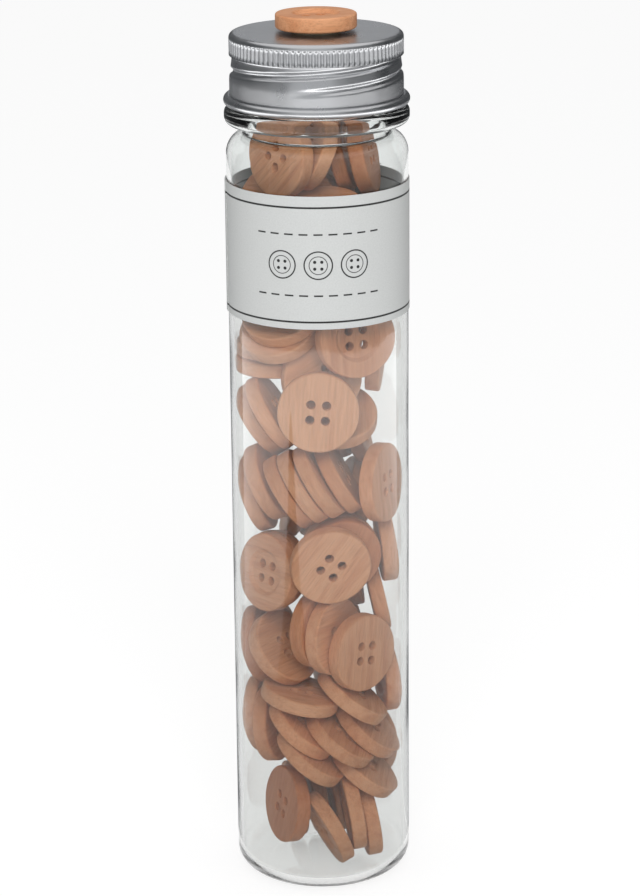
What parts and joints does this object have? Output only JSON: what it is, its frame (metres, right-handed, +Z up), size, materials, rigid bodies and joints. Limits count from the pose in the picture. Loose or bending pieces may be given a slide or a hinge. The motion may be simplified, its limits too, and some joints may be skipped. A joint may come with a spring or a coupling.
{
  "type": "tube of buttons",
  "caption": "Clear plastic tube jar with an aluminium screw cap and a wrap-around paper label, filled with loose wooden four-hole buttons; one more button is glued on the cap.",
  "frame": {"origin": "middle of the tube's standing ring, on the surface it stands on", "axes": "+Z up along the tube, -Y towards the viewer of the picture, +X to the right in the picture"},
  "size_m": [0.0458, 0.0458, 0.2243],
  "materials": {
    "clear_plastic": "clear glossy PET",
    "aluminium": "satin rolled sheet",
    "liner": "soft foam",
    "glue": "hot-melt glue, dull and slightly yellow",
    "wood": "turned and smooth sanded, satin",
    "label_paper": "smooth uncoated white"
  },
  "bodies": {
    "jar": {"tube": "clear_plastic", "label": "label_paper", "buttons_01": "wood", "buttons_02": "wood", "buttons_03": "wood"},
    "lift": {"cap_liner": "liner"},
    "cap": {"cap_shell": "aluminium", "lid_glue": "glue", "lid_button": "wood"}
  },
  "joints": [
    {"name": "cap_lift", "type": "slide", "parent": "jar", "child": "lift", "axis": [0, 0, 1], "range_m": [0, 0.00623]},
    {"name": "cap_turn", "type": "hinge", "parent": "lift", "child": "cap", "pos_m": [0, 0, 0.21], "axis": [0, 0, 1], "range_deg": [0, 280]}
  ],
  "couplings": [
    {"joint": "cap_lift", "follows": "cap_turn", "m_per_rad": 0.0012732}
  ]
}
